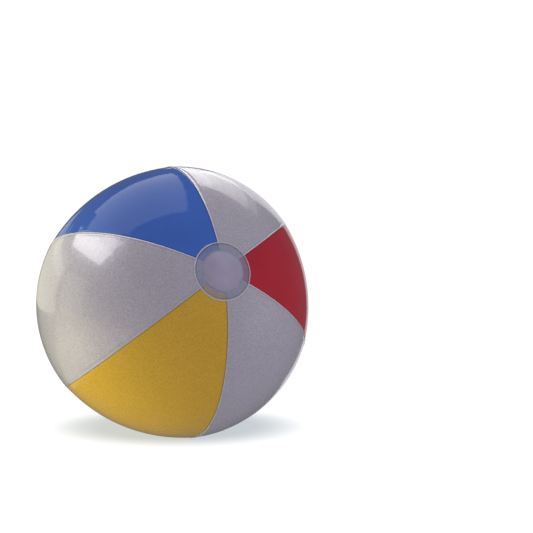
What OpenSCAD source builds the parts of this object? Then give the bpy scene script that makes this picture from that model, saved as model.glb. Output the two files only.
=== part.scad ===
// Inflatable beach ball, blown up and lying on a floor.
// Six film panels run from cap to cap. The three white ones lie outside, and the margins of the
// coloured ones are welded to their inner faces. A push-in valve is welded into the upper white panel.
// The origin is the middle of the flat patch on the floor, +Z is up, and the valve points along +Y.

/* [Ball] */
// Diameter of the inflated ball
ball_d = 340; // [300:5:420]
// Thickness of the film
film_t = 0.25; // [0.2:0.05:0.4]
// Diameter of the flat patch that the ball's weight presses on the floor
patch_d = 24; // [16:1:32]

/* [Panels] */
// Width of the coloured margin welded under each white edge
lap_w = 5; // [3:0.5:8]
// Width of the strip along each seam where the margin joins its own panel
seam_w = 1; // [0.5:0.5:2]

/* [End caps] */
// Diameter of each round end cap
cap_d = 67; // [56:1:90]
// Diameter of the hole that the panel ends leave under a cap
cap_hole_d = 45; // [30:1:48]
// Width of the thick rim around a cap
cap_rim_w = 1.2; // [0.8:0.2:2]

/* [Lie of the ball] */
// Angle by which the front cap's axis rises above level
pole_rise = 21; // [5:1:35]
// Angle by which the panels are turned about that axis
roll = 1.3; // [-8:0.1:8]

/* [Valve] */
// Diameter of the hole in the panel
hole_d = 16.4; // [15:0.2:20]
// Diameter of the flange welded inside the panel
flange_d = 27; // [24:1:34]
// Thickness of the flange and of the folding web
web_t = 0.5; // [0.4:0.1:0.8]
// Outer diameter of the stem
stem_d = 8.6; // [8.2:0.2:9]
// Diameter of the bore that is blown into
bore_d = 5.5; // [4.5:0.1:5.8]
// Length of the stem
stem_l = 12.5; // [11:0.5:16]
// Depth of the stem's mouth below the panel when the valve is pushed in
mouth_deep = 1; // [0.5:0.1:1.5]
// Distance from the mouth down to the collar that the web holds
collar_down = 7; // [6:0.5:9]
// Thickness of the hinged check flap
flap_t = 0.4; // [0.3:0.1:0.6]

/* [Stopper] */
// Diameter of the stopper's head
head_d = 10; // [9.6:0.2:10.4]
// Thickness of the stopper's head
head_t = 1.6; // [1.2:0.1:2]
// Length of the nose inside the bore
nose_l = 5.5; // [4:0.5:7]
// Gap all round between the nose and the bore
nose_gap = 0.05; // [0.02:0.01:0.1]

/* [Hidden] */
$fn = 120;

// Panels, counted anticlockwise from three o'clock as seen from the front cap
RED = 0;
UPPER_WHITE = 1;
BLUE = 2;
LEFT_WHITE = 3;
YELLOW = 4;
LOWER_WHITE = 5;
panel_turn = 60;
half_turn = panel_turn / 2;

ball_r = ball_d / 2;
patch_r = patch_d / 2;
centre_z = sqrt(ball_r * ball_r - patch_r * patch_r);
reach = 1.3 * ball_r;

// The valve sits in the middle of the upper white panel, where the skin stands upright
valve_turn = panel_turn * UPPER_WHITE + roll;
valve_from_pole = atan(tan(pole_rise) / sin(valve_turn));
ball_turn = asin(sin(valve_from_pole) * cos(valve_turn));

// Heights on the valve's axis, counted from the ball's centre
mouth_z = ball_r - mouth_deep;
stem_end_z = mouth_z - stem_l;
hole_r = hole_d / 2;
rim_top_z = sqrt(pow(ball_r - film_t, 2) - pow(hole_r, 2));
rim_low_z = sqrt(pow(ball_r - film_t - web_t, 2) - pow(hole_r, 2));
collar_t = 1;
collar_r = stem_d / 2 + 0.9;
collar_top_z = mouth_z - collar_down;
collar_low_z = collar_top_z - collar_t;
lip_t = 1.2;
lip_r = 5;

// Room between parts that move past each other
small_gap = 0.1;

// Hinge of the check flap: a round bead just outside the lug on the stem's inner end
lug_w = 3;
lug_l = 2.5;
lug_r = stem_d / 2 + 1.3;
bead_r = 0.35;
bead_y = lug_r + bead_r + small_gap;
flap_r = bore_d / 2 + 0.9;
flap_low_z = stem_end_z - small_gap - flap_t;

// Strap that keeps the stopper with the stem
strap_in_r = 5.9;
strap_out_r = 6.7;
strap_top_z = mouth_z + 0.7;
strap_low_z = mouth_z - 1.1;
strap_arc = 200;
strap_tab_w = 2.4;

white = [0.86, 0.85, 0.87];
clear_film = [0.80, 0.80, 0.84, 0.6];
valve_white = [0.90, 0.90, 0.91];

// Turns the ball's own axis, along Z, to where the front cap lies
module lie() {
    translate([0, 0, centre_z])
        rotate([0, 0, ball_turn])
            rotate([90 - pole_rise, 0, 0])
                children();
}

// Puts a shape built along Z on the valve's axis
module on_valve_axis() {
    translate([0, 0, centre_z])
        rotate([-90, 0, 0])
            children();
}

// Everything below one layer of the skin, which the floor has flattened at the bottom
module bubble(deep) {
    intersection() {
        lie()
            rotate(roll)
                sphere(r = ball_r - deep);
        translate([-reach, -reach, deep])
            cube(2 * reach);
    }
}

// The sixth of all space that one panel fills, with its sides moved out by grow
module sixth(panel, grow = 0) {
    lie()
        rotate(panel_turn * panel + roll)
            translate([-grow / sin(half_turn), 0, 0])
                linear_extrude(2 * reach, center = true)
                    polygon([
                        [0, 0],
                        [reach, -reach * tan(half_turn)],
                        [reach, reach * tan(half_turn)]
                    ]);
}

// Both holes under the end caps
module cap_holes() {
    lie()
        cylinder(d = cap_hole_d, h = 2 * reach, center = true);
}

// A white panel: one film whose edges lie on top at every seam
module white_panel(panel) {
    difference() {
        intersection() {
            bubble(0);
            sixth(panel);
        }
        bubble(film_t);
        cap_holes();
    }
}

// A coloured panel: its margins step in by one film and run on under the white edges
module coloured_panel(panel) {
    difference() {
        intersection() {
            bubble(0);
            sixth(panel, lap_w);
        }
        bubble(2 * film_t);
        intersection() {
            bubble(film_t);
            sixth(panel, -seam_w);
        }
        difference() {
            translate([-reach, -reach, -reach])
                cube(3 * reach);
            bubble(film_t);
            sixth(panel);
        }
        cap_holes();
    }
}

// A round end cap with a thick rim: pole is 1 in front and -1 at the back
module end_cap(pole) {
    difference() {
        intersection() {
            bubble(-2 * film_t);
            lie()
                mirror([0, 0, pole < 0 ? 1 : 0])
                    cylinder(d = cap_d, h = reach);
        }
        bubble(0);
        difference() {
            translate([-reach, -reach, -reach])
                cube(3 * reach);
            bubble(-film_t);
            lie()
                difference() {
                    cylinder(d = cap_d + 2, h = 2 * reach, center = true);
                    cylinder(d = cap_d - 2 * cap_rim_w, h = 2 * reach, center = true);
                }
        }
    }
}

module red_panel() {
    color([0.72, 0.14, 0.20]) coloured_panel(RED);
}

module upper_white_panel() {
    color(white)
        difference() {
            white_panel(UPPER_WHITE);
            on_valve_axis()
                cylinder(r = hole_r, h = reach);
        }
}

module blue_panel() {
    color([0.16, 0.30, 0.66]) coloured_panel(BLUE);
}

module left_white_panel() {
    color(white) white_panel(LEFT_WHITE);
}

module yellow_panel() {
    color([0.88, 0.70, 0.16]) coloured_panel(YELLOW);
}

module lower_white_panel() {
    color(white) white_panel(LOWER_WHITE);
}

module front_cap() {
    color(clear_film) end_cap(1);
}

module back_cap() {
    color(clear_film) end_cap(-1);
}

// Soft disc welded to the inner face of the panel, around the hole
module valve_flange() {
    color(valve_white)
        on_valve_axis()
            difference() {
                intersection() {
                    sphere(r = ball_r - film_t);
                    cylinder(d = flange_d, h = reach);
                }
                sphere(r = ball_r - film_t - web_t);
                cylinder(r = hole_r, h = reach);
            }
}

// Thin cone that turns inside out when the stem is pushed in or pulled out
module valve_web() {
    clear_r = collar_r + small_gap;
    color(valve_white)
        on_valve_axis()
            rotate_extrude()
                polygon([
                    [hole_r - web_t, rim_top_z],
                    [hole_r, rim_top_z],
                    [hole_r, rim_low_z],
                    [clear_r + web_t, collar_low_z],
                    [clear_r, collar_low_z],
                    [clear_r, collar_low_z + web_t]
                ]);
}

// Tube with a lip at the mouth, a collar for the web and a lug for the check flap
module valve_stem() {
    color(valve_white)
        on_valve_axis()
            difference() {
                union() {
                    translate([0, 0, stem_end_z])
                        cylinder(d = stem_d, h = stem_l);
                    translate([0, 0, mouth_z - lip_t])
                        cylinder(r = lip_r, h = lip_t);
                    translate([0, 0, collar_low_z])
                        cylinder(r = collar_r, h = collar_t);
                    translate([-lug_w / 2, -lug_r, stem_end_z])
                        cube([lug_w, lug_r, lug_l]);
                }
                translate([0, 0, stem_end_z - 1])
                    cylinder(d = bore_d, h = stem_l + 2);
            }
}

// Flap that air pushes open from outside and that the ball's own pressure holds shut
module check_flap() {
    color(valve_white)
        on_valve_axis()
            translate([0, 0, flap_low_z])
                union() {
                    cylinder(r = flap_r, h = flap_t);
                    translate([-lug_w / 2, -bead_y, 0])
                        cube([lug_w, bead_y, flap_t]);
                    translate([-lug_w / 2, -bead_y, flap_t / 2])
                        rotate([0, 90, 0])
                            cylinder(r = bead_r, h = lug_w);
                }
}

// Plug with a dished head, a fingernail tab and a hollow nose
module stopper() {
    nose_r = bore_d / 2 - nose_gap;
    hollow_r = nose_r - 1;
    tip_l = 0.8;
    dish_r = head_d / 2 - 1.2;
    dish_deep = 0.4;
    tab_w = 3;
    tab_out = 1.3;
    color(valve_white)
        on_valve_axis()
            difference() {
                union() {
                    translate([0, 0, mouth_z])
                        cylinder(d = head_d, h = head_t);
                    translate([0, 0, mouth_z - nose_l + tip_l])
                        cylinder(r = nose_r, h = nose_l - tip_l);
                    translate([0, 0, mouth_z - nose_l])
                        cylinder(r1 = nose_r - tip_l / 2, r2 = nose_r, h = tip_l);
                    translate([-tab_w / 2, 0, mouth_z + head_t / 2])
                        cube([tab_w, head_d / 2 + tab_out, head_t / 2]);
                }
                translate([0, 0, mouth_z + head_t - dish_deep])
                    cylinder(r = dish_r, h = head_t);
                translate([0, 0, mouth_z - nose_l - 1])
                    cylinder(r = hollow_r, h = nose_l);
            }
}

// Band curled over the top of the stem, with one end on the lip and the other at the head
module stopper_strap() {
    strap_h = strap_top_z - strap_low_z;
    tab_h = strap_h / 2 - 0.2;
    overlap = 0.2;
    color(valve_white)
        on_valve_axis()
            translate([0, 0, strap_low_z])
                union() {
                    rotate(90 - strap_arc / 2 + 180)
                        rotate_extrude(angle = strap_arc)
                            translate([strap_in_r, 0])
                                square([strap_out_r - strap_in_r, strap_h]);
                    strap_tab(1, lip_r, 0, tab_h, overlap);
                    strap_tab(-1, head_d / 2 + small_gap, strap_h - tab_h, tab_h, overlap);
                }
}

// Short tab between the band and the part beside it, on the side given by 1 or -1
module strap_tab(side, from_r, low, tall, overlap) {
    mirror([side < 0 ? 1 : 0, 0, 0])
        intersection() {
            translate([0, -strap_tab_w / 2, low])
                cube([strap_in_r + overlap, strap_tab_w, tall]);
            translate([0, 0, low])
                difference() {
                    cylinder(r = strap_in_r + overlap, h = tall);
                    translate([0, 0, -1])
                        cylinder(r = from_r, h = tall + 2);
                }
        }
}

red_panel();
upper_white_panel();
blue_panel();
left_white_panel();
yellow_panel();
lower_white_panel();
front_cap();
back_cap();
valve_flange();
valve_web();
valve_stem();
check_flap();
stopper();
stopper_strap();
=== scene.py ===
import math

import bpy
import bmesh
import numpy as np
from mathutils import Matrix, Vector


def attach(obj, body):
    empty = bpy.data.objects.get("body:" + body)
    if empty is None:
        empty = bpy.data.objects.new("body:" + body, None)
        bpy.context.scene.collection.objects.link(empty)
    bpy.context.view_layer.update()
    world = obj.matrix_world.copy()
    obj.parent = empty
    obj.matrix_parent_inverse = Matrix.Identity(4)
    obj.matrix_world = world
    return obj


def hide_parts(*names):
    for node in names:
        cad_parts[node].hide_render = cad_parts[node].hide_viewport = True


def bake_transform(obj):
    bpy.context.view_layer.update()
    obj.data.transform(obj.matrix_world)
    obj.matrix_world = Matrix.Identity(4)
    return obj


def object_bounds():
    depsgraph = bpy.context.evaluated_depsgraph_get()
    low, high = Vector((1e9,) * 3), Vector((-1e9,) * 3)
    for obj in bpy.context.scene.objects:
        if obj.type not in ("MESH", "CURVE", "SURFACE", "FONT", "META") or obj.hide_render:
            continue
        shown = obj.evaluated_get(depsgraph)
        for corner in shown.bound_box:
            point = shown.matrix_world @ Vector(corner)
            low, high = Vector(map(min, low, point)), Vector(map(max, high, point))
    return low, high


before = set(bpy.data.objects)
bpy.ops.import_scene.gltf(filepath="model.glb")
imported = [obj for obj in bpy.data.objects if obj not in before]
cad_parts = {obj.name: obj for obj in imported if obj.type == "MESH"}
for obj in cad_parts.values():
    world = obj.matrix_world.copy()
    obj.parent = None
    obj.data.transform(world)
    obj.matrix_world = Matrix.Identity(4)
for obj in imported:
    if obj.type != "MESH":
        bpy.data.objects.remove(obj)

# The ball lies on the floor with its front cap towards the camera. Angles about the ball's own axis
# are counted anticlockwise from three o'clock, seen from the front cap. Lengths are in metres.

MM = 0.001
cad_low, cad_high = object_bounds()

# ---- The ball, as the CAD frame has it
BALL_R = (cad_high.x - cad_low.x) / 2
CENTRE = Vector((0, 0, cad_high.z - BALL_R))
FILM_T = 0.25 * MM
POLE_RISE = math.radians(21)       # the front cap's axis points this far above level
ROLL = math.radians(1.3)           # the ball's turn about that axis
PANEL_COUNT = 6
PANEL_TURN = 2 * math.pi / PANEL_COUNT
VALVE_PANEL = 1
YELLOW_PANEL = 4
VALVE_TURN = VALVE_PANEL * PANEL_TURN + ROLL
VALVE_FROM_POLE = math.atan(math.tan(POLE_RISE) / math.sin(VALVE_TURN))
BALL_TURN = math.asin(math.sin(VALVE_FROM_POLE) * math.cos(VALVE_TURN))
LIE = (Matrix.Rotation(BALL_TURN, 4, "Z") @ Matrix.Rotation(math.pi / 2 - POLE_RISE, 4, "X")
       @ Matrix.Rotation(ROLL, 4, "Z"))

# ---- How far the film stands off a true sphere
COLOUR_DIP = 3.4 * MM              # a coloured panel is flatter along its middle
WHITE_SWELL = 1.5 * MM             # a white panel is fuller
SWELL_POWER = 1.3                  # how soon both fade towards the caps
WHITE_OVER = math.radians(0.69)    # a white panel's cut edge lies this far over its neighbour
CAP_R = 33.5 * MM
CAP_HOLE_R = 22.5 * MM             # the panels end at this radius, under the cap

# ---- Weld along each seam: heights, and distances in from a white panel's cut edge
BEAD_H = 0.50 * MM
BEAD_IN = 0.85 * MM
BEAD_W = 0.50 * MM
PRESS_DEEP = 0.16 * MM             # groove that the welding tool presses beside the bead
PRESS_IN = 3.1 * MM
PRESS_W = 0.95 * MM
AFTER_PRESS = 2.2 * MM             # a low swell follows this far beyond the groove
PUCKER_H = 0.10 * MM               # small ripples along the seam
PUCKER_FADE = 9 * MM
PUCKER_WAVES = ((13.1 * MM, 1.7, 0.5), (8.3 * MM, 2.9, 0.3), (21.7 * MM, 0.6, 0.4))    # length, phase, share

# ---- Mesh spacing: close together where the film steps, and even between
GRID_STEP = 3 * MM
EDGE_OFFSETS = [x * MM for x in (0, 0.25, 0.5, 0.75, 1.0, 1.3, 1.7, 2.2, 2.7, 3.2, 3.8, 4.6, 5.6, 6.8)]
UNDER_OFFSETS = [x * MM for x in (-7, -5, -3, -1.5, -0.8, -0.4, -0.2)]
END_OFFSETS = [x * MM for x in (0, 0.4, 1, 2, 4, 6, 8, 9.5, 10.3, 11, 11.7, 12.5, 13.5, 15, 17)]
VALVE_RINGS = [x * MM for x in (17, 15.8, 15, 14.5, 14.1, 13.7, 13.4, 13.1, 12.8, 12.45, 12.1, 11.8, 11.45,
                                11.1, 10.8, 10.5, 10.15, 9.8, 9.5, 9.2, 8.9, 8.7, 8.5, 8.35, 8.2)]
VALVE_SQUARE_R = 17.6 * MM         # the grid gives way to these rings inside this radius
CAP_RINGS = [x * MM for x in (1.5, 4, 7, 10, 13, 16, 18.5, 20.5, 21.6, 22.2, 22.6, 23.0, 23.5, 24.1, 24.8, 26,
                              27.5, 29, 30, 30.8, 31.4, 31.8, 32.1, 32.4, 32.65, 32.9, 33.1, 33.3, 33.5)]
CAP_AROUND = 216

# ---- Valve, on its own axis, which runs level through the ball's centre to its back
HOLE_R = 8.2 * MM
FLANGE_R = 13.5 * MM
FLANGE_TOP = BALL_R - FILM_T - 0.45 * MM
STEM_R = 4.3 * MM
BORE_R = 2.75 * MM
STEM_L = 12.5 * MM
MOUTH = BALL_R - 1.0 * MM          # the stem's open end, as a distance from the ball's centre
LIP_R = 5.0 * MM
LIP_T = 1.2 * MM
COLLAR_R = 5.2 * MM
COLLAR_DOWN = 7 * MM
LUG_R = 5.6 * MM
LUG_HALF = 1.5 * MM                # half the width of the lug, the flap's tongue and the stopper's tab
SMALL_GAP = 0.1 * MM


# ------------------------------------------------------------------ meshes

def make_object(name, points, faces, smooth=True):
    """A mesh object from lists of points and faces."""
    mesh = bpy.data.meshes.new(name)
    mesh.from_pydata([tuple(p) for p in points], [], [tuple(int(i) for i in f) for f in faces])
    mesh.validate()
    mesh.update()
    if smooth:
        mesh.shade_smooth()
    obj = bpy.data.objects.new(name, mesh)
    bpy.context.scene.collection.objects.link(obj)
    return obj


def store(obj, name, values):
    """Keeps one number for each vertex, for the material to read."""
    attribute = obj.data.attributes.new(name, "FLOAT", "POINT")
    attribute.data.foreach_set("value", np.asarray(values, np.float32))


def smooth_step(x):
    """Goes from 0 to 1 with no corners as x does."""
    x = np.clip(x, 0, 1)
    return x * x * (3 - 2 * x)


def hump(x, middle, width):
    """A bell of height 1."""
    return np.exp(-((x - middle) / width) ** 2)


def bridge(one, other, flip=False):
    """Faces between two closed loops of points."""
    after = list(range(1, len(one))) + [0]
    if flip:
        return [(one[i], other[i], other[j], one[j]) for i, j in enumerate(after)]
    return [(one[i], one[j], other[j], other[i]) for i, j in enumerate(after)]


def polar_direction(theta, phi):
    """Unit vectors at angle theta from the front cap's axis and phi about it."""
    local = np.stack([np.sin(theta) * np.cos(phi), np.sin(theta) * np.sin(phi), np.cos(theta)], -1)
    return local @ np.array(LIE.to_3x3()).T


def polar_angles(directions):
    """The inverse of polar_direction."""
    local = directions @ np.array(LIE.to_3x3())
    return np.arccos(np.clip(local[..., 2], -1, 1)), np.arctan2(local[..., 1], local[..., 0])


# ------------------------------------------------------------------ the film's surface

def pucker(seam, theta, away):
    """Small ripples along a seam, which die out away from it."""
    along = BALL_R * theta
    wave = sum(share * np.sin(2 * math.pi * along / length + phase * (seam + 1))
               for length, phase, share in PUCKER_WAVES)
    return PUCKER_H * wave * np.exp(-np.abs(away) / PUCKER_FADE) * smooth_step((np.sin(theta) - 0.15) / 0.3)


def weld_strength(theta, seam):
    """How strongly the weld stands out along a seam: it is pressed flat under the end caps."""
    along = BALL_R * theta
    uneven = 1 + 0.18 * np.sin(along / (11 * MM) + 2.1 * seam) + 0.12 * np.sin(along / (4.7 * MM) + seam)
    clear = smooth_step((BALL_R * np.sin(theta) - CAP_R) / (2 * MM))
    return uneven * (0.25 + 0.75 * clear)


def weld_white_and_highlight(theta, turn, panel):
    """How white a weld's edge looks, part whitened film and part painted highlight on its bead: hardly at all
    beside yellow, and faintly under the end caps.
    """
    neighbour = np.where(turn > 0, (panel + 1) % PANEL_COUNT, (panel - 1) % PANEL_COUNT)
    beside = np.where(neighbour == YELLOW_PANEL, 0.25, 1.0)
    clear = smooth_step((BALL_R * np.sin(theta) - CAP_R) / (1.5 * MM) + 1)
    return beside * (0.1 + 0.9 * clear)


def white_height(theta, turn):
    """Height of a white panel's outer face over the sphere, and how far in from its cut edge it is.

    turn is counted from the panel's middle."""
    half = PANEL_TURN / 2 + WHITE_OVER
    inside = (half - np.abs(turn)) * BALL_R * np.sin(theta)
    share = np.clip(np.abs(turn) / half, 0, 1)
    seam = (turn > 0) * 1.0
    swell = WHITE_SWELL * (1 - share ** 2) * np.sin(theta) ** SWELL_POWER
    bead = BEAD_H * hump(inside, BEAD_IN, BEAD_W) - PRESS_DEEP * hump(inside, PRESS_IN, PRESS_W)
    bead = bead + 0.4 * PRESS_DEEP * hump(inside, PRESS_IN + AFTER_PRESS, PRESS_W)
    return swell + bead * weld_strength(theta, seam), inside


def coloured_height(theta, turn):
    """The same for a coloured panel: one film lower, and lower still under the white edges."""
    half = PANEL_TURN / 2 - WHITE_OVER
    inside = (half - np.abs(turn)) * BALL_R * np.sin(theta)
    share = np.clip(np.abs(turn) / half, 0, 1)
    seam = (turn > 0) * 1.0
    dip = COLOUR_DIP * (1 - share ** 2) * np.sin(theta) ** SWELL_POWER
    groove = 0.10 * MM * hump(inside, 0.5 * MM, 0.6 * MM) - 0.08 * MM * hump(inside, 2.6 * MM, 0.9 * MM)
    open_part = -FILM_T - dip - groove * weld_strength(theta, seam)
    over, _ = white_height(theta, np.abs(turn) - PANEL_TURN)
    under_part = np.minimum(over - FILM_T - 0.05 * MM, -FILM_T)
    under = smooth_step(-inside / (0.5 * MM) + 0.2)
    return open_part * (1 - under) + under_part * under, inside


def seam_ripple(theta, turn, panel):
    """Ripples of the two seams beside a panel. Seam n lies between panels n and n + 1."""
    half = PANEL_TURN / 2
    reach = BALL_R * np.sin(theta)
    before = pucker((panel - 1) % PANEL_COUNT, theta, (turn + half) * reach)
    after = pucker(panel, theta, (half - turn) * reach)
    return before + after


def valve_emboss(points):
    """Rings that the valve's weld leaves in the film round its hole, inside a raised rim."""
    first, pitch, last = 9.6 * MM, 1.3 * MM, 13.6 * MM
    soft = 0.4 * MM
    side = np.hypot(points[..., 0] - CENTRE.x, points[..., 2] - CENTRE.z)
    behind = points[..., 1] > CENTRE.y
    rings = 0.10 * MM * np.cos((side - first) * 2 * math.pi / pitch)
    band = smooth_step((side - 9.0 * MM) / soft) * smooth_step((last - side) / soft)
    rim = 0.30 * MM * hump(side, 14.2 * MM, 0.6 * MM)
    roll_in = -0.35 * MM * np.exp(-np.maximum(side - HOLE_R, 0) / (0.6 * MM))
    return np.where(behind, (rings - 0.12 * MM) * band + rim + roll_in, 0)


def film_points(theta, turn, panel, kind, deep):
    """Points on a panel's film, deep below its outer face, and how far in from its cut edge they are.

    The film lies flat where the floor stops it, a coloured panel on top of its white neighbour's edge."""
    height, inside = (white_height if kind == "white" else coloured_height)(theta, turn)
    height = height + seam_ripple(theta, turn, panel)
    direction = polar_direction(theta, turn + panel * PANEL_TURN)
    sphere = np.array(CENTRE) + direction * BALL_R
    if panel == VALVE_PANEL:
        height = height + valve_emboss(sphere)
    points = np.array(CENTRE) + direction * (BALL_R + height - deep)[..., None]
    floor = deep + (FILM_T * smooth_step(-inside / (0.4 * MM)) if kind != "white" else 0)
    points[..., 2] = np.maximum(points[..., 2], floor)
    return points, inside


def spread(offsets, half, count):
    """Positions from -half to half: at the given offsets from each edge, and even between."""
    last = offsets[-1]
    left = [-half + o for o in offsets[:-1]]
    middle = [(half - last) * i for i in np.linspace(-1, 1, count)]
    return np.array(left + middle + [-x for x in reversed(left)])


def panel_columns(theta, kind, count):
    """Angles from the panel's middle of the points in the row at theta."""
    reach = BALL_R * math.sin(theta)
    if kind == "white":
        half = (PANEL_TURN / 2 + WHITE_OVER) * reach
        return spread(EDGE_OFFSETS, half, count) / reach
    half = (PANEL_TURN / 2 - WHITE_OVER) * reach
    return spread(UNDER_OFFSETS + EDGE_OFFSETS, half, count) / reach


def panel_rows():
    """Angles of the rows from the front cap's axis, close together under the edges of both caps."""
    start = math.asin(CAP_HOLE_R / BALL_R) * BALL_R
    near = [start + x for x in END_OFFSETS]
    whole = math.pi * BALL_R
    count = int((whole - 2 * near[-1]) / GRID_STEP)
    middle = list(np.linspace(near[-1], whole - near[-1], count))[1:-1]
    return np.array(near + middle + [whole - x for x in reversed(near)]) / BALL_R


def panel_grid(panel, kind):
    """The two angles of every point in a panel's grid. The valve's panel is finer."""
    rows = panel_rows()
    count = 41 if panel == VALVE_PANEL else 31
    turn = np.array([panel_columns(theta, kind, count) for theta in rows])
    return np.repeat(rows[:, None], turn.shape[1], 1), turn


def loop_round(index, r0, r1, c0, c1):
    """The grid's points along the edge of a rectangle of rows and columns, in order."""
    return ([index[r0, c] for c in range(c0, c1)] + [index[r, c1] for r in range(r0, r1)]
            + [index[r1, c] for c in range(c1, c0, -1)] + [index[r, c0] for r in range(r1, r0, -1)])


def grid_faces(index, hole):
    """Faces between neighbouring points of the grid, apart from those in the hole, if there is one."""
    keep = np.ones(index.shape, bool)
    if hole:
        r0, r1, c0, c1 = hole
        keep[r0:r1, c0:c1] = False
    return [(index[r, c], index[r + 1, c], index[r + 1, c + 1], index[r, c + 1])
            for r in range(index.shape[0] - 1) for c in range(index.shape[1] - 1) if keep[r, c]]


def square_round_valve(points):
    """The rows and columns of the part of the grid that gives way to the valve's rings."""
    side = np.hypot(points[..., 0] - CENTRE.x, points[..., 2] - CENTRE.z)
    near = (side < VALVE_SQUARE_R) & (points[..., 1] > 0)
    r0, r1 = np.where(near.any(1))[0][[0, -1]]
    c0, c1 = np.where(near.any(0))[0][[0, -1]]
    return r0 - 1, r1 + 1, c0 - 1, c1 + 1


def valve_rings(square, deep):
    """Rings of film points, from the edge of that part of the grid to the round hole of the valve."""
    outer = square - np.array(CENTRE)
    angle = np.arctan2(outer[:, 2], outer[:, 0])
    rings = []
    for r in VALVE_RINGS:
        x, z = r * np.cos(angle), r * np.sin(angle)
        direction = np.stack([x, np.sqrt(BALL_R ** 2 - x ** 2 - z ** 2), z], -1) / BALL_R
        theta, phi = polar_angles(direction)
        turn = (phi - VALVE_PANEL * PANEL_TURN + math.pi) % (2 * math.pi) - math.pi
        rings.append(film_points(theta, turn, VALVE_PANEL, "white", deep)[0])
    return np.concatenate(rings)


def drop_unused(points, faces):
    """Leaves out the points that no face uses, and says which are left."""
    used = np.zeros(len(points), bool)
    used[[i for face in faces for i in face]] = True
    number = np.cumsum(used) - 1
    return points[used], [tuple(int(number[i]) for i in face) for face in faces], used


def build_panel(name, panel, kind, node):
    """One film panel with its real thickness, from the hole under one cap to the hole under the other."""
    theta, turn = panel_grid(panel, kind)
    index = np.arange(theta.size).reshape(theta.shape)
    outer, inside = film_points(theta, turn, panel, kind, 0)
    inner, _ = film_points(theta, turn, panel, kind, FILM_T)
    hole = square_round_valve(outer) if panel == VALVE_PANEL else None
    faces = grid_faces(index, hole)
    sides = [outer.reshape(-1, 3), inner.reshape(-1, 3)]
    distance = inside.ravel()
    pale = weld_white_and_highlight(theta, turn, panel).ravel()
    loops = []
    if hole:
        square = loop_round(index, *hole)
        n = len(square)
        starts = [index.size + k * n for k in range(len(VALVE_RINGS))]
        loops = [square] + [range(start, start + n) for start in starts]
        for one, other in zip(loops, loops[1:]):
            faces += bridge(one, other)
        sides = [np.concatenate([side, valve_rings(side[square], deep)])
                 for side, deep in zip(sides, (0, FILM_T))]
        extra = n * len(VALVE_RINGS)
        distance = np.append(distance, np.full(extra, 20 * MM))    # far from any seam
        pale = np.append(pale, np.zeros(extra))
    count = len(sides[0])
    faces += [tuple(i + count for i in reversed(face)) for face in faces]
    rim = loop_round(index, 0, index.shape[0] - 1, 0, index.shape[1] - 1)
    faces += bridge(rim, [i + count for i in rim])
    if hole:
        faces += bridge([i + count for i in loops[-1]], loops[-1])
    points, faces, used = drop_unused(np.concatenate(sides), faces)
    obj = make_object(name, points, faces)
    fix_normals(obj)
    store(obj, "seam_distance", np.tile(distance, 2)[used])
    store(obj, "weld_white_and_highlight", np.tile(pale, 2)[used])
    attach(obj, "ball")
    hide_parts(node)
    return obj


def fix_normals(obj):
    """Turns every face outwards and keeps sharp edges sharp."""
    work = bmesh.new()
    work.from_mesh(obj.data)
    bmesh.ops.recalc_face_normals(work, faces=work.faces)
    for edge in work.edges:
        if len(edge.link_faces) == 2 and edge.calc_face_angle() > math.radians(40):
            edge.smooth = False
    work.to_mesh(obj.data)
    work.free()


# ------------------------------------------------------------------ end caps

def top_of_panels(theta, phi):
    """Height of whichever film lies on top."""
    panel = np.round(phi / PANEL_TURN)
    turn = phi - panel * PANEL_TURN
    on_white = (panel.astype(int) % 2) == 1        # every second panel is white
    edge = np.abs(turn) > PANEL_TURN / 2 - WHITE_OVER
    from_white = np.where(on_white, turn, np.abs(turn) - PANEL_TURN)
    white, _ = white_height(theta, from_white)
    coloured, _ = coloured_height(theta, turn)
    return np.where(on_white | edge, white, coloured)


def cap_height(arc, phi):
    """Height of an end cap's outer face: it drapes over the panel ends and has a raised rim."""
    theta = np.maximum(arc, CAP_HOLE_R * 1.005) / BALL_R
    step = 0.7 * MM / np.maximum(arc, 5 * MM)      # the film bridges seams this close on either side
    under = np.maximum.reduce([top_of_panels(theta, phi + k * step) for k in (-1, -0.5, 0, 0.5, 1)])
    over_hole = 1 - smooth_step((arc - CAP_HOLE_R - 0.2 * MM) / (1.2 * MM))
    dome = 0.9 * MM * (1 - (arc / CAP_HOLE_R) ** 2)
    lifted = under * (1 - over_hole) + dome * over_hole + FILM_T + 0.06 * MM
    rim = 0.60 * MM * hump(arc, CAP_R - 0.80 * MM, 0.46 * MM)
    press = -0.10 * MM * hump(arc, CAP_R - 2.3 * MM, 0.6 * MM)
    inner_ring = 0.22 * MM * hump(arc, CAP_HOLE_R + 1.0 * MM, 0.6 * MM)
    return lifted + rim + press + inner_ring


def cap_points(pole, deep):
    """A point in the middle of a cap's film and rings of points round it, deep below its outer face."""
    phi = np.linspace(0, 2 * math.pi, CAP_AROUND, endpoint=False)
    rings = []
    for radius in CAP_RINGS:
        arc = np.full(CAP_AROUND, radius)
        theta = arc / BALL_R if pole > 0 else math.pi - arc / BALL_R
        height = cap_height(arc, phi) - 0.9 * deep
        rings.append(np.array(CENTRE) + polar_direction(theta, phi) * (BALL_R + height)[:, None])
    height = cap_height(np.array([0.1 * MM]), np.array([0.0]))[0] - deep
    tip = polar_direction(np.array([0.0 if pole > 0 else math.pi]), np.array([0.0]))
    return np.concatenate([np.array(CENTRE) + tip * (BALL_R + height)] + rings)


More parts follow.
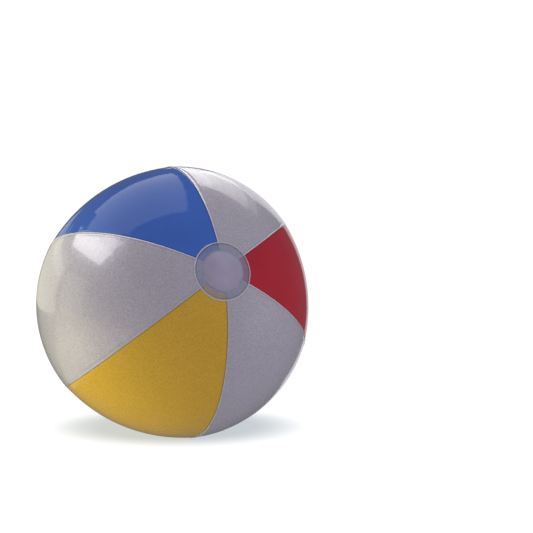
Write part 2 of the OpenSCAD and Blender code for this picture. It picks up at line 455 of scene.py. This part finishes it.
def build_cap(name, pole, node):
    """A round film cap. pole is 1 in front and -1 at the back."""
    points = [cap_points(pole, deep) for deep in (0, FILM_T)]
    size = len(points[0])
    faces, edges = [], []
    for base in (0, size):
        starts = [base + 1 + k * CAP_AROUND for k in range(len(CAP_RINGS))]
        rings = [range(start, start + CAP_AROUND) for start in starts]
        faces += [(base, i, rings[0][(k + 1) % CAP_AROUND]) for k, i in enumerate(rings[0])]
        for one, other in zip(rings, rings[1:]):
            faces += bridge(one, other, flip=True)
        edges.append(rings[-1])
    faces += bridge(*edges, flip=True)
    obj = make_object(name, np.concatenate(points), faces)
    fix_normals(obj)
    radius = [0] + [r for r in CAP_RINGS for _ in range(CAP_AROUND)]
    store(obj, "cap_radius", radius * 2)
    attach(obj, "ball")
    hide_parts(node)
    return obj


# ------------------------------------------------------------------ valve

def rounded(corners, steps=5):
    """An outline with round corners. Each corner is (radius, height, rounding)."""
    outline = []
    for i, (x, y, r) in enumerate(corners):
        here = np.array((x, y), float)
        before = np.array(corners[i - 1][:2], float) - here
        after = np.array(corners[(i + 1) % len(corners)][:2], float) - here
        to_before, to_after = np.linalg.norm(before), np.linalg.norm(after)
        cut = min(r, 0.45 * to_before, 0.45 * to_after)
        if cut <= 0:
            outline.append(here)
            continue
        a, b = here + before / to_before * cut, here + after / to_after * cut
        for k in range(steps + 1):
            t = k / steps
            outline.append((1 - t) ** 2 * a + 2 * t * (1 - t) * here + t ** 2 * b)
    return outline


def lathe(name, outline, around=72):
    """A closed ring turned about the valve's axis. Outline points are (radius, distance from the centre)."""
    points, faces = [], []
    n = len(outline)
    for k in range(around):
        a = 2 * math.pi * k / around
        points += [(r * math.cos(a), along, CENTRE.z + r * math.sin(a)) for r, along in outline]
        after = (k + 1) % around
        faces += bridge(range(k * n, k * n + n), range(after * n, after * n + n))
    obj = make_object(name, points, faces)
    merge_close(obj, 0.001 * MM, 0.0001 * MM)      # points that meet on the axis
    fix_normals(obj)
    return obj


def merge_close(obj, distance, shortest):
    """Merges points that lie on top of each other, and the empty faces between them."""
    work = bmesh.new()
    work.from_mesh(obj.data)
    bmesh.ops.remove_doubles(work, verts=work.verts, dist=distance)
    bmesh.ops.dissolve_degenerate(work, edges=work.edges, dist=shortest)
    work.to_mesh(obj.data)
    work.free()


def round_box(name, low, high, radius):
    """A box with rounded edges, from its two corners."""
    work = bmesh.new()
    bmesh.ops.create_cube(work, size=1)
    size = Vector(high) - Vector(low)
    middle = (Vector(high) + Vector(low)) / 2
    for v in work.verts:
        v.co = Vector((v.co.x * size.x, v.co.y * size.y, v.co.z * size.z)) + middle
    bmesh.ops.bevel(work, geom=list(work.edges), offset=radius, segments=3, affect="EDGES", profile=0.5)
    mesh = bpy.data.meshes.new(name)
    work.to_mesh(mesh)
    work.free()
    obj = bpy.data.objects.new(name, mesh)
    bpy.context.scene.collection.objects.link(obj)
    return obj


def unite(obj, *others):
    """Joins solids into one, with no faces left inside."""
    for other in others:
        modifier = obj.modifiers.new("join", "BOOLEAN")
        modifier.operation = "UNION"
        modifier.solver = "EXACT"
        modifier.object = other
        apply_modifiers(obj)
        bpy.data.objects.remove(other)
    merge_close(obj, 0.002 * MM, 0.001 * MM)       # slivers that a join leaves
    obj.data.shade_smooth()
    fix_normals(obj)


def apply_modifiers(obj):
    """Makes what an object's modifiers show its own mesh."""
    bpy.context.view_layer.update()
    graph = bpy.context.evaluated_depsgraph_get()
    mesh = bpy.data.meshes.new_from_object(obj.evaluated_get(graph))
    obj.modifiers.clear()
    old = obj.data
    obj.data = mesh
    bpy.data.meshes.remove(old)


def up_from_axis(x, rise, along):
    """A point beside the valve's axis: x across, rise above it, along from the ball's centre."""
    return (x, along, CENTRE.z + rise)


def build_flange():
    """Soft disc inside the panel, which thins towards its rim."""
    radii = np.linspace(HOLE_R, FLANGE_R, 12)
    top = [(r, math.sqrt(FLANGE_TOP ** 2 - r ** 2)) for r in radii]
    low = [(r, along - (0.5 if r < 12.6 * MM else 0.3) * MM) for r, along in reversed(top)]
    obj = lathe("valve_flange_disc", top + low)
    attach(obj, "ball")
    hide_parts("valve_flange")
    return obj


def build_web():
    """Thin skin between flange and stem. It rolls over at both ends, where it folds."""
    rim = math.sqrt(FLANGE_TOP ** 2 - HOLE_R ** 2) - 0.25 * MM
    low = MOUTH - COLLAR_DOWN - 0.5 * MM
    half = 0.22 * MM
    count = 26
    line = [(HOLE_R + 0.3 * MM, rim)]
    for k in range(1, count + 1):
        t = k / count
        r = HOLE_R + 0.1 * MM - (HOLE_R - COLLAR_R - 0.1 * MM) * smooth_step(t) * (0.45 + 0.55 * t)
        line.append((r, rim + (low - rim) * (t ** 1.15)))
    outer, inner = [], []
    for k, (r, along) in enumerate(line):
        a, b = line[max(k - 1, 0)], line[min(k + 1, count)]
        d = np.array((b[0] - a[0], b[1] - a[1]))
        d /= np.linalg.norm(d)
        outer.append((r - half * d[1], along + half * d[0]))
        inner.append((r + half * d[1], along - half * d[0]))
    obj = lathe("valve_web_skin", outer + inner[::-1], around=96)
    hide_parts("valve_web")
    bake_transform(obj)
    return obj


def build_stem():
    """Tube with a rolled lip, a collar, a moulding ring and the lug of the check flap."""
    end = MOUTH - STEM_L
    collar_top = MOUTH - COLLAR_DOWN
    collar_low = collar_top - 1.0 * MM
    c = 0.25 * MM
    outline = rounded([
        (BORE_R, end, 0.15 * MM), (STEM_R, end, 0.3 * MM),
        (STEM_R, collar_low, c), (COLLAR_R, collar_low, c),
        (COLLAR_R, collar_top, c), (STEM_R, collar_top, c),
        (STEM_R - 0.1 * MM, MOUTH - 4.2 * MM, c), (STEM_R + 0.2 * MM, MOUTH - 4.0 * MM, c),
        (STEM_R + 0.2 * MM, MOUTH - 3.5 * MM, c), (STEM_R - 0.1 * MM, MOUTH - 3.3 * MM, c),
        (STEM_R, MOUTH - LIP_T, c), (LIP_R, MOUTH - LIP_T, 0.4 * MM),
        (LIP_R, MOUTH, 0.4 * MM), (BORE_R, MOUTH, 0.3 * MM),
    ])
    tube = lathe("valve_stem_tube", outline, around=96)
    lug = round_box("lug", up_from_axis(-LUG_HALF, BORE_R + 0.7 * MM, end),
                    up_from_axis(LUG_HALF, LUG_R, end + 2.5 * MM), 0.25 * MM)
    unite(tube, lug)
    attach(tube, "valve_stem")
    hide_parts("valve_stem")
    return tube


def build_flap():
    """Disc over the stem's inner end, with a tongue and a round bead to turn on."""
    top = MOUTH - STEM_L - SMALL_GAP
    low = top - 0.4 * MM
    middle = (top + low) / 2
    dish = top - 0.08 * MM
    r = BORE_R + 0.9 * MM
    outline = rounded([
        (0, low, 0), (r - 0.5 * MM, low, 0.1 * MM), (r, low + 0.1 * MM, 0.1 * MM), (r, top, 0.1 * MM),
        (r - 0.7 * MM, top, 0.05 * MM), (r - 0.9 * MM, dish, 0.05 * MM), (0, dish, 0),
    ])
    disc = lathe("check_flap_disc", outline, around=64)
    bead_r = 0.35 * MM
    bead_rise = LUG_R + 0.45 * MM
    tongue = round_box("tongue", up_from_axis(-LUG_HALF, r - 1.2 * MM, low),
                       up_from_axis(LUG_HALF, bead_rise, top), 0.1 * MM)
    bead = round_box("bead", up_from_axis(-LUG_HALF, bead_rise - bead_r, middle - bead_r),
                     up_from_axis(LUG_HALF, bead_rise + bead_r, middle + bead_r), 0.3 * MM)
    unite(disc, tongue, bead)
    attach(disc, "check_flap")
    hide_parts("check_flap")
    return disc


def build_stopper():
    """Plug with a dished head, a fingernail tab and a hollow nose."""
    head_r, head_t = 5.0 * MM, 1.6 * MM
    nose_r = BORE_R - 0.05 * MM
    tip = MOUTH - 5.5 * MM
    top = MOUTH + head_t
    dish = top - 0.45 * MM
    outline = rounded([
        (0, MOUTH + 0.1 * MM, 0), (1.6 * MM, MOUTH - 0.2 * MM, 0.3 * MM), (1.7 * MM, tip, 0.2 * MM),
        (nose_r - 0.4 * MM, tip, 0.25 * MM), (nose_r, tip + 0.8 * MM, 0.3 * MM),
        (nose_r, MOUTH - 2.1 * MM, 0.1 * MM), (nose_r - 0.15 * MM, MOUTH - 1.8 * MM, 0.1 * MM),
        (nose_r, MOUTH - 1.5 * MM, 0.1 * MM), (nose_r, MOUTH, 0.1 * MM),
        (head_r, MOUTH, 0.35 * MM), (head_r, top, 0.55 * MM),
        (3.8 * MM, top, 0.25 * MM), (3.5 * MM, dish, 0.3 * MM), (1.1 * MM, dish, 0.15 * MM),
        (0.9 * MM, top - 0.25 * MM, 0.15 * MM), (0, top - 0.2 * MM, 0),
    ])
    plug = lathe("stopper_plug", outline, around=96)
    tab = round_box("tab", up_from_axis(-LUG_HALF, -head_r - 1.3 * MM, MOUTH + head_t / 2),
                    up_from_axis(LUG_HALF, -head_r + 0.8 * MM, top - 0.1 * MM), 0.3 * MM)
    unite(plug, tab)
    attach(plug, "stopper")
    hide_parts("stopper")
    return plug


def strap_route(arc_r, low, high):
    """The strap's middle line, which leaves the stem's lip, goes round above it and meets the stopper."""
    step = 0.22 * MM
    route = [(LIP_R - 0.15 * MM + k * step, math.radians(-6 - k), low) for k in range(5)]
    for k in range(49):
        t = k / 48
        r = arc_r - 0.35 * MM * (math.exp(-t * 14) + math.exp(-(1 - t) * 14))
        route.append((r, math.radians(-10 + 200 * t), low + (high - low) * smooth_step(t)))
    route += [(LIP_R + SMALL_GAP + (4 - k) * step, math.radians(190 - k), high) for k in range(5)]
    return [Vector(up_from_axis(r * math.cos(a), r * math.sin(a), along)) for r, a, along in route]


def build_strap():
    """Flat strap from the stem's lip, over the top of the stem, to the stopper's head."""
    arc_r = 6.3 * MM
    points = strap_route(arc_r, MOUTH - 0.7 * MM, MOUTH + 0.35 * MM)
    u, v, r = 0.36 * MM, 0.85 * MM, 0.25 * MM      # half its thickness, half its width, rounding
    shape = rounded([(-u, -v, r), (u, -v, r), (u, v, r), (-u, v, r)], steps=3)
    n = len(shape)
    last = len(points) - 1
    verts = []
    for k, p in enumerate(points):
        ahead = points[min(k + 1, last)] - points[max(k - 1, 0)]
        ahead.y = 0
        across = Vector((0, 1, 0)).cross(ahead.normalized())
        scale = 0.75 if k in (0, last) else 1
        verts += [p + (across * float(u) + Vector((0, float(v), 0))) * scale for u, v in shape]
    loops = [range(k * n, k * n + n) for k in range(last + 1)]
    faces = [face for one, other in zip(loops, loops[1:]) for face in bridge(one, other)]
    faces += [tuple(loops[0]), tuple(loops[-1])]
    obj = make_object("stopper_strap_band", verts, faces)
    fix_normals(obj)
    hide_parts("stopper_strap")
    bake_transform(obj)
    return obj


# ------------------------------------------------------------------ materials

class Shader:
    """A small helper that adds nodes to one material."""

    def __init__(self, name):
        self.material = bpy.data.materials.new(name)
        self.material.use_nodes = True
        self.tree = self.material.node_tree
        self.surface = self.tree.nodes["Principled BSDF"]
        self.place = self.node("ShaderNodeTexCoord").outputs["Object"]

    def node(self, kind, **values):
        """Adds a node with these properties."""
        made = self.tree.nodes.new(kind)
        for key, value in values.items():
            setattr(made, key, value)
        return made

    def link(self, a, b):
        """Leads output a to input b."""
        self.tree.links.new(a, b)

    def set(self, **values):
        """Sets inputs of the surface. An underscore stands for a space in the input's name."""
        for key, value in values.items():
            self.surface.inputs[key.replace("_", " ")].default_value = value

    def noise(self, scale, detail=2.0, rough=0.5):
        """Cloudy noise over the object's own coordinates."""
        made = self.node("ShaderNodeTexNoise")
        self.link(self.place, made.inputs["Vector"])
        made.inputs["Scale"].default_value = scale
        made.inputs["Detail"].default_value = detail
        made.inputs["Roughness"].default_value = rough
        return made.outputs["Fac"]

    def attribute(self, name):
        """The number that store() kept for each vertex."""
        return self.node("ShaderNodeAttribute", attribute_name=name).outputs["Fac"]

    def ramp(self, value, low, high, to_low, to_high, smooth=False):
        """Goes from to_low to to_high as the value goes from low to high."""
        made = self.node("ShaderNodeMapRange", interpolation_type="SMOOTHSTEP" if smooth else "LINEAR")
        self.link(value, made.inputs["Value"])
        for key, number in (("From Min", low), ("From Max", high), ("To Min", to_low), ("To Max", to_high)):
            made.inputs[key].default_value = number
        return made.outputs["Result"]

    def math(self, operation, a, b):
        """Adds or multiplies two values."""
        made = self.node("ShaderNodeMath", operation=operation)
        self.link(a, made.inputs[0])
        self.link(b, made.inputs[1])
        return made.outputs[0]

    def vector(self, operation, a, b=None):
        """Works on a vector, with a second one of plain numbers if there is one."""
        made = self.node("ShaderNodeVectorMath", operation=operation)
        self.link(a, made.inputs[0])
        if b is None:
            return made.outputs["Value"]
        made.inputs[1].default_value = b
        return made.outputs["Vector"]

    def mix(self, factor, a, b):
        """Goes from colour a to colour b."""
        made = self.node("ShaderNodeMix", data_type="RGBA")
        self.link(factor, made.inputs[0])
        for socket, value in ((made.inputs[6], a), (made.inputs[7], b)):
            if isinstance(value, tuple):
                socket.default_value = (*value, 1)
            else:
                self.link(value, socket)
        return made.outputs[2]

    def mix_value(self, factor, a, b):
        """Goes from the value a to the number b."""
        made = self.node("ShaderNodeMapRange")
        self.link(factor, made.inputs["Value"])
        self.link(a, made.inputs["To Min"])
        made.inputs["To Max"].default_value = b
        return made.outputs["Result"]

    def bump(self, height, distance, after=None):
        """Relief of this depth, on top of another one if there is one."""
        made = self.node("ShaderNodeBump")
        made.inputs["Distance"].default_value = distance
        made.inputs["Strength"].default_value = 1.0
        self.link(height, made.inputs["Height"])
        if after is not None:
            self.link(after, made.inputs["Normal"])
        return made.outputs["Normal"]


def darker(colour, share):
    """The colour, dimmed to this share."""
    return tuple(c * share for c in colour)


def painted_edge_shadow(s, base, colour):
    """A thin painted shadow line on a panel, along the edge where its white neighbour's raised weld lies over
    it.
    """
    line = s.ramp(s.attribute("seam_distance"), 0.7 * MM, 1.6 * MM, 0.6, 0, smooth=True)
    return s.mix(line, base, darker(colour, 0.35))


def glossy_film(name, colour, deep):
    """Solid-coloured vinyl: deep colour, clear gloss, faint orange peel, rub marks and a painted shadow line
    along its seams.
    """
    s = Shader(name)
    cloud = s.ramp(s.noise(14, 3), 0.35, 0.65, 0, 1)
    base = s.mix(cloud, deep, colour)
    # a painted shadow line along the seams, where the white neighbours' raised edges lie over this film
    s.link(painted_edge_shadow(s, base, colour), s.surface.inputs["Base Color"])
    s.link(s.ramp(s.noise(46, 4, 0.6), 0.3, 0.75, 0.05, 0.11), s.surface.inputs["Roughness"])
    peel = s.bump(s.noise(160, 2), 0.04 * MM)
    s.link(s.bump(s.noise(22, 2), 0.20 * MM, after=peel), s.surface.inputs["Normal"])
    s.set(IOR=1.38)
    return s.material


def pearl_film(name, colour, dark, metal, on_top):
    """Pearl vinyl: fine bright flakes that lie along the surface, under a clear gloss.

    A film on top shows a weld line, part whitened and part painted highlight, and painted shade in its
    groove. A film below has a painted shadow at its edge."""
    s = Shader(name)
    flakes = s.ramp(s.noise(520, 4, 0.8), 0.37, 0.63, 0, 1)
    base = s.mix(flakes, dark, colour)
    mottle = s.ramp(s.noise(130, 3, 0.6), 0.3, 0.7, 0, 0.22)
    base = s.mix(mottle, base, darker(dark, 0.85))
    cloud = s.ramp(s.noise(9, 3), 0.3, 0.7, 0, 0.12)
    base = s.mix(cloud, base, darker(dark, 0.9))
    if on_top:
        pale = s.attribute("weld_white_and_highlight")
        edge = s.attribute("seam_distance")
        # the pale weld line: part whitened film, part painted highlight on the bead
        weld = s.ramp(edge, 1.0 * MM, 1.5 * MM, 0.9, 0, smooth=True)
        base = s.mix(s.math("MULTIPLY", weld, pale), base, (0.93, 0.92, 0.95))
        # painted shade in the groove that the welding tool presses beside the bead
        press = s.ramp(edge, 1.4 * MM, 2.9 * MM, 0.35, 0, smooth=True)
        outside = s.ramp(edge, 1.1 * MM, 1.5 * MM, 0, 1, smooth=True)
        groove = s.math("MULTIPLY", s.math("MULTIPLY", press, outside), pale)
        base = s.mix(groove, base, darker(dark, 0.45))
    else:
        # a film below gets a painted shadow line where the white neighbour's raised edge lies over it
        base = painted_edge_shadow(s, base, colour)
    s.link(base, s.surface.inputs["Base Color"])
    s.link(s.ramp(s.noise(1300, 3, 0.7), 0.36, 0.64, 0.12, 0.50), s.surface.inputs["Roughness"])
    peel = s.bump(s.noise(900, 2, 0.6), 0.02 * MM)
    s.link(s.bump(s.noise(20, 2), 0.20 * MM, after=peel), s.surface.inputs["Normal"])
    s.set(Metallic=metal, IOR=1.5, Coat_Weight=0.9, Coat_Roughness=0.035, Coat_IOR=1.5)
    return s.material


def milky_film(name):
    """Translucent film of the end caps: milky and a little cloudy. Its welded rim is denser, with a painted
    highlight and a painted shadow line inside it. Over the hole it is denser and paler, painted light for the
    ball's lit inside.

    A ray meets both faces of the film, so the alpha that is set here counts twice."""
    s = Shader(name)
    radius = s.attribute("cap_radius")
    cloud = s.ramp(s.noise(55, 4, 0.6), 0.3, 0.7, 0, 1)
    base = s.mix(cloud, (0.40, 0.44, 0.54), (0.47, 0.50, 0.60))
    # over the hole the film is painted paler: painted light standing in for the lit inside of the ball, which
    # the opaque panels leave dark
    middle = s.ramp(radius, CAP_HOLE_R - 2.5 * MM, CAP_HOLE_R + 0.6 * MM, 1, 0, smooth=True)
    painted_inside_glow = s.mix(s.ramp(s.noise(38, 2), 0.3, 0.7, 0, 1), (0.44, 0.41, 0.49), (0.55, 0.53, 0.64))
    base = s.mix(middle, base, painted_inside_glow)
    # a painted shadow line just inside the raised rim
    groove = s.ramp(radius, CAP_R - 3.6 * MM, CAP_R - 2.0 * MM, 0, 0.65, smooth=True)
    base = s.mix(groove, base, (0.16, 0.17, 0.23))
    # a pale painted highlight along the raised rim
    rim = s.ramp(radius, CAP_R - 1.6 * MM, CAP_R - 1.1 * MM, 0, 0.75, smooth=True)
    s.link(s.mix(rim, base, (0.92, 0.93, 0.97)), s.surface.inputs["Base Color"])
    # the film is also made denser over the hole, to carry that painted light
    inner = s.ramp(radius, CAP_HOLE_R - 1.5 * MM, CAP_HOLE_R + 3.5 * MM, 0.76, 0.28, smooth=True)
    edge = s.ramp(radius, CAP_R - 1.6 * MM, CAP_R - 1.1 * MM, 0, 0.35, smooth=True)
    s.link(s.math("ADD", inner, edge), s.surface.inputs["Alpha"])
    s.link(s.ramp(s.noise(80, 3), 0.3, 0.7, 0.08, 0.18), s.surface.inputs["Roughness"])
    s.link(s.bump(s.noise(35, 3), 0.20 * MM), s.surface.inputs["Normal"])
    s.set(IOR=1.5, Coat_Weight=1.0, Coat_Roughness=0.04)
    return s.material


def soft_vinyl(name, colour, deep):
    """Moulded valve vinyl: waxy, slightly cloudy, with a fine moulded skin."""
    s = Shader(name)
    cloud = s.ramp(s.noise(260, 3), 0.35, 0.65, 0, 1)
    s.link(s.mix(cloud, deep, colour), s.surface.inputs["Base Color"])
    s.link(s.ramp(s.noise(700, 3), 0.3, 0.7, 0.28, 0.42), s.surface.inputs["Roughness"])
    s.link(s.bump(s.noise(2200, 2), 0.02 * MM), s.surface.inputs["Normal"])
    s.set(IOR=1.5, Subsurface_Weight=0.25, Subsurface_Scale=2 * MM)
    s.surface.inputs["Subsurface Radius"].default_value = (1.0, 0.8, 0.7)
    return s.material


def dress(obj, material):
    """Gives a piece its material."""
    obj.data.materials.clear()
    obj.data.materials.append(material)


# ------------------------------------------------------------------ the stage

CAMERA_AZIMUTH = math.radians(-8.04)
CAMERA_ELEVATION = math.radians(10)
CAMERA_DISTANCE = 6.71 * BALL_R
CAMERA_LENS = 60.6
CAMERA_ROLL = math.radians(0.5)
BALL_LEFT = 0.1003     # how far the ball's centre lies left of the middle and below it, as a tangent
BALL_DOWN = 0.0396

FLOOR_RINGS = (0.3, 0.8, 2.0, 5.0, 14.0)
FLOOR_AROUND = 128
SHADOW_PLACE = (0.004, 0.024, 0)
SHADOW_SIZE = (0.158, 0.078, 1)    # half its length and half its depth
SHADOW_TURN = -1.5 * CAMERA_AZIMUTH
SHADOW_GLOW = 0.57                 # strength of the floor's glow in the shadow
FLOOR_GLOW = 0.97                  # round it
FAR_GLOW = 1.05                    # and far away
CARD_HIGH = 0.61                   # the level cards are this far above the floor


def floor_paper():
    """Paper that glows: less in a painted shadow under the ball, which is tinted cooler, and most far away.
    """
    s = Shader("floor_paper")
    far = s.ramp(s.vector("LENGTH", s.place), 0.35, 1.6, 0, 1, smooth=True)
    paper = s.mix(s.ramp(s.noise(30, 3), 0.3, 0.7, 0, 1), (0.18, 0.20, 0.20), (0.20, 0.22, 0.22))
    s.link(s.mix(far, paper, (0.0, 0.0, 0.0)), s.surface.inputs["Base Color"])
    turned = s.node("ShaderNodeVectorRotate", rotation_type="Z_AXIS")
    turned.inputs["Angle"].default_value = SHADOW_TURN
    s.link(s.vector("SUBTRACT", s.place, SHADOW_PLACE), turned.inputs["Vector"])
    from_middle = s.vector("LENGTH", s.vector("DIVIDE", turned.outputs["Vector"], SHADOW_SIZE))
    # the painted shadow: inside this ellipse the glow dips and turns cooler
    near = s.ramp(from_middle, 0.60, 1.20, 0, 1, smooth=True)
    glow = s.ramp(near, 0, 1, SHADOW_GLOW, FLOOR_GLOW)
    s.link(s.mix_value(far, glow, FAR_GLOW), s.surface.inputs["Emission Strength"])
    s.link(s.mix(near, (0.91, 0.98, 1.0), (1.0, 1.0, 1.0)), s.surface.inputs["Emission Color"])
    s.set(Roughness=0.9, Specular_IOR_Level=0.0)
    return s.material


def build_floor():
    """A pale round floor. Its outer part glows to the backdrop's white, so that no edge shows.

    Under the ball the glow dips in an ellipse, level in the camera's view, which draws the soft shadow."""
    angles = [2 * math.pi * k / FLOOR_AROUND for k in range(FLOOR_AROUND)]
    points = [(0, 0, 0)] + [(r * math.cos(a), r * math.sin(a), 0) for r in FLOOR_RINGS for a in angles]
    starts = [1 + k * FLOOR_AROUND for k in range(len(FLOOR_RINGS))]
    rings = [range(start, start + FLOOR_AROUND) for start in starts]
    faces = [(0, i, rings[0][(k + 1) % FLOOR_AROUND]) for k, i in enumerate(rings[0])]
    for one, other in zip(rings, rings[1:]):
        faces += bridge(one, other, flip=True)
    floor = make_object("floor", points, faces)
    floor.data.materials.append(floor_paper())
    floor.visible_diffuse = False
    floor.visible_glossy = False
    floor.visible_shadow = False


def soft_box(name, place, towards, width, depth, strength, colour, along=(1, 0, 0), seen=True, lights=True):
    """A rectangular light at place that faces towards a point, with its width along a direction.

    A light that is seen shows up in glossy surfaces. One that lights falls on matt ones."""
    light = bpy.data.lights.new(name, "AREA")
    light.shape = "RECTANGLE"
    light.size, light.size_y = width, depth
    light.energy = strength * width * depth * math.pi
    light.color = colour
    obj = bpy.data.objects.new(name, light)
    bpy.context.scene.collection.objects.link(obj)
    back = (Vector(place) - Vector(towards)).normalized()
    side = (Vector(along) - back * Vector(along).dot(back)).normalized()
    up = back.cross(side)
    obj.matrix_world = Matrix.Translation(place) @ Matrix((side, up, back)).transposed().to_4x4()
    obj.visible_camera = False
    obj.visible_glossy = seen
    obj.visible_diffuse = lights
    return obj


def build_world():
    """White backdrop for the eye, and a dimmer, cooler room for the light that falls on the ball."""
    world = bpy.data.worlds.new("studio")
    world.use_nodes = True
    bpy.context.scene.world = world
    tree = world.node_tree
    path = tree.nodes.new("ShaderNodeLightPath")
    room = tree.nodes["Background"]
    reflected = tree.nodes.new("ShaderNodeBackground")
    backdrop = tree.nodes.new("ShaderNodeBackground")
    for node, colour, strength in ((room, (0.89, 0.82, 1.0), 0.60), (reflected, (0.93, 0.95, 1.0), 0.13),
                                   (backdrop, (1, 1, 1), 1.0)):
        node.inputs["Color"].default_value = (*colour, 1)
        node.inputs["Strength"].default_value = strength
    glossy = tree.nodes.new("ShaderNodeMixShader")
    tree.links.new(path.outputs["Is Glossy Ray"], glossy.inputs[0])
    tree.links.new(room.outputs[0], glossy.inputs[1])
    tree.links.new(reflected.outputs[0], glossy.inputs[2])
    camera = tree.nodes.new("ShaderNodeMixShader")
    tree.links.new(path.outputs["Is Camera Ray"], camera.inputs[0])
    tree.links.new(glossy.outputs[0], camera.inputs[1])
    tree.links.new(backdrop.outputs[0], camera.inputs[2])
    tree.links.new(camera.outputs[0], tree.nodes["World Output"].inputs["Surface"])


def build_camera():
    """The camera looks a little past the ball, which so lies left of the middle and below it."""
    a, e = CAMERA_AZIMUTH, CAMERA_ELEVATION
    back = Vector((math.sin(a) * math.cos(e), -math.cos(a) * math.cos(e), math.sin(e)))
    turn = a - math.atan(BALL_LEFT / math.cos(e))
    tilt = e - math.atan(BALL_DOWN)
    data = bpy.data.cameras.new("camera")
    data.lens = CAMERA_LENS
    data.sensor_width = 36
    camera = bpy.data.objects.new("camera", data)
    bpy.context.scene.collection.objects.link(camera)
    aim = Matrix.Rotation(turn, 4, "Z") @ Matrix.Rotation(math.pi / 2 - tilt, 4, "X")
    place = Matrix.Translation(CENTRE + back * CAMERA_DISTANCE)
    camera.matrix_world = place @ aim @ Matrix.Rotation(CAMERA_ROLL, 4, "Z")
    bpy.context.scene.camera = camera


def from_ball(azimuth, elevation, distance):
    """A point seen from the ball's centre. Azimuth 0 is in front, 90 to the right, in degrees."""
    a, e = math.radians(azimuth), math.radians(elevation)
    return CENTRE + distance * Vector((math.sin(a) * math.cos(e), -math.cos(a) * math.cos(e), math.sin(e)))


def flat_card(name, left, right, front, back, strength):
    """A level card above the ball, between these sides, that only gloss reflects.

    The cards lie side by side: where two overlap, only one of them is reflected."""
    place = Vector(((left + right) / 2, (front + back) / 2, CARD_HIGH))
    soft_box(name, place, place - Vector((0, 0, 1)), right - left, back - front, strength,
             (1.0, 0.99, 0.97), lights=False)


def build_lights():
    """Soft lights that fall on the ball, and plain cards that only its gloss reflects."""
    soft_box("ceiling", from_ball(-90, 85, 1.2), CENTRE, 0.8, 0.8, 0.9, (1, 1, 1), seen=False)
    soft_box("left_window", from_ball(-97, -23, 1.4), CENTRE, 0.9, 0.6, 11.2, (1.0, 0.99, 0.62),
             along=(0, 1, 0), seen=False)
    soft_box("right_fill", from_ball(62, -2, 1.6), CENTRE, 0.8, 0.8, 1.9, (0.87, 0.91, 1.0), seen=False)
    flat_card("ceiling_card", -0.36, 0.025, -0.12, 0.38, 1.05)
    flat_card("ceiling_back", -0.49, -0.36, 0.02, 0.28, 1.0)
    flat_card("ceiling_front", -0.49, -0.36, -0.20, 0.02, 1.8)
    flat_card("ceiling_left", -0.77, -0.49, -0.22, 0.42, 2.3)
    flat_card("side_1", 0.09, 0.17, 0.12, 1.20, 1.5)
    flat_card("side_2", 0.17, 0.22, 0.11, 1.20, 1.1)
    flat_card("side_3", 0.22, 0.30, 0.10, 1.20, 0.9)
    flat_card("side_4", 0.30, 0.38, 0.10, 0.80, 0.7)
    flat_card("side_5", 0.38, 0.48, 0.12, 0.60, 0.3)
    soft_box("wall_card", from_ball(-140, 4, 1.6), CENTRE, 1.45, 0.74, 0.54, (1.0, 0.97, 0.74),
             along=(1, 1, 0), lights=False)
    soft_box("wall_top", from_ball(-131, 16, 1.6), CENTRE, 1.1, 0.35, 0.35, (1.0, 0.98, 0.85),
             along=(1, 1, 0), lights=False)
    soft_box("wall_glow", from_ball(-96, 5, 1.6), CENTRE, 0.7, 0.7, 0.32, (1.0, 0.97, 0.84),
             along=(0, 1, 0), lights=False)
    soft_box("table_card", Vector((-0.86, -0.10, 0.002)), Vector((-0.86, -0.10, 1.0)), 1.2, 0.75, 0.22,
             (1.0, 0.88, 0.60), along=(0.95, -0.32, 0), lights=False)
    soft_box("right_card", from_ball(152, 0, 1.8), CENTRE, 0.85, 2.0, 0.7, (0.97, 0.95, 1.0),
             along=(1, 1, 0), lights=False)


# ------------------------------------------------------------------ put it together

white_film = pearl_film("white_pearl_film", (0.76, 0.735, 0.765), (0.53, 0.515, 0.545), 0.35, True)
yellow_film = pearl_film("yellow_pearl_film", (0.98, 0.64, 0.058), (0.78, 0.46, 0.034), 0.30, False)
blue_film = glossy_film("blue_film", (0.062, 0.165, 0.52), (0.054, 0.145, 0.47))
red_film = glossy_film("red_film", (0.46, 0.029, 0.043), (0.42, 0.025, 0.037))
cap_film = milky_film("milky_cap_film")
valve_film = soft_vinyl("valve_vinyl", (0.74, 0.74, 0.76), (0.64, 0.64, 0.68))

PANELS = (
    ("red_film_panel", 0, "coloured", "red_panel", red_film, "red_film"),
    ("upper_white_film_panel", 1, "white", "upper_white_panel", white_film, "white_film"),
    ("blue_film_panel", 2, "coloured", "blue_panel", blue_film, "blue_film"),
    ("left_white_film_panel", 3, "white", "left_white_panel", white_film, "white_film"),
    ("yellow_film_panel", 4, "coloured", "yellow_panel", yellow_film, "yellow_film"),
    ("lower_white_film_panel", 5, "white", "lower_white_panel", white_film, "white_film"),
)
for name, panel, kind, node, material, slot in PANELS:
    dress(build_panel(name, panel, kind, node), material)

dress(build_cap("front_cap_film", 1, "front_cap"), cap_film)
dress(build_cap("back_cap_film", -1, "back_cap"), cap_film)
for build in (build_flange, build_web, build_stem, build_flap, build_stopper, build_strap):
    dress(build(), valve_film)

build_floor()
build_world()
build_camera()
build_lights()
bpy.context.scene.view_settings.view_transform = "Standard"
